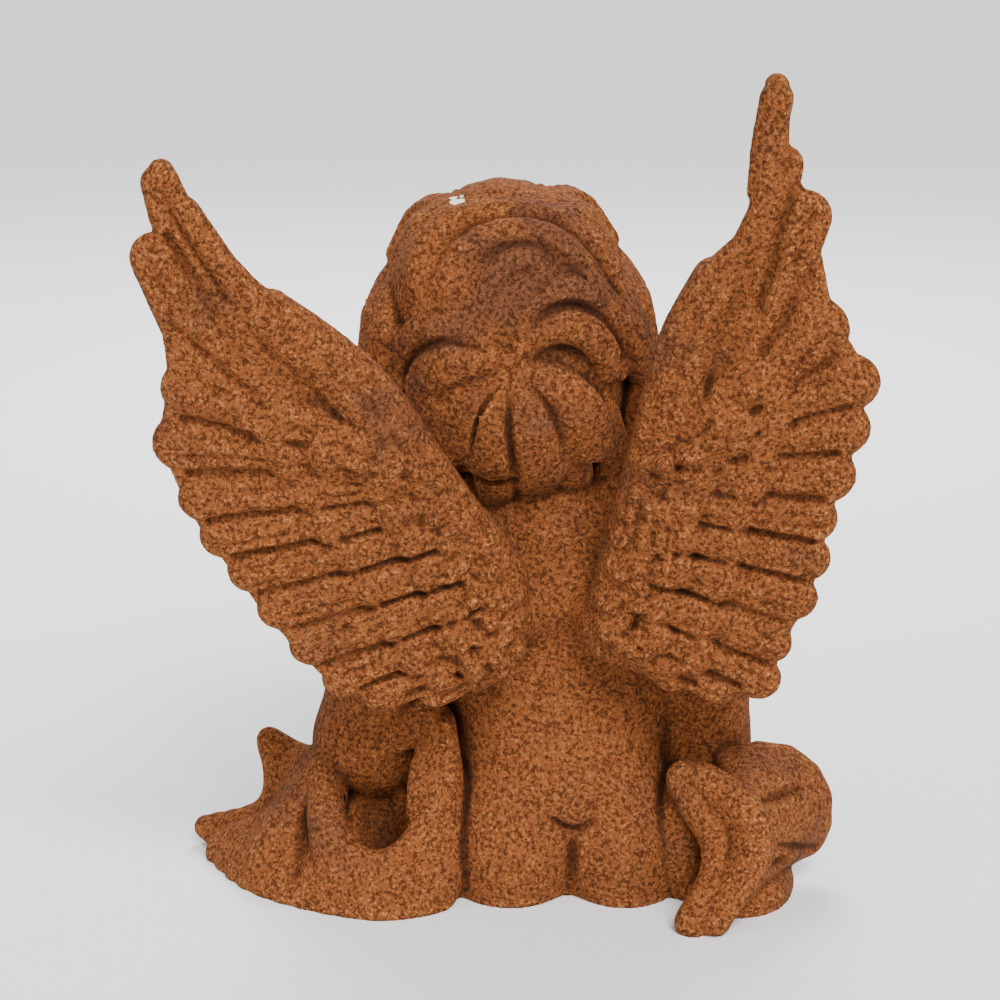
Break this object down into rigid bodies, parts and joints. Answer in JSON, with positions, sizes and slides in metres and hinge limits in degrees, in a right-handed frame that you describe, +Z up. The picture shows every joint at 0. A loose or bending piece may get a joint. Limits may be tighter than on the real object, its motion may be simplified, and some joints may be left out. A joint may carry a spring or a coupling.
{
  "type": "angel statue",
  "caption": "Child angel sitting on the ground with raised feathered wings and cloth gathered round the hips, cast in stone with a rust-brown finish",
  "frame": {"origin": "on the ground under the hips, in the flat underside", "axes": "Z is up; the figure faces -Y; its left side is +X"},
  "size_m": [0.2287, 0.1984, 0.2804],
  "materials": {
    "rusted_stone": "gritty matt rust-brown coat over pale cast stone, darker in the hollows"
  },
  "bodies": {
    "root": {"angel_statue": "rusted_stone"}
  },
  "joints": []
}
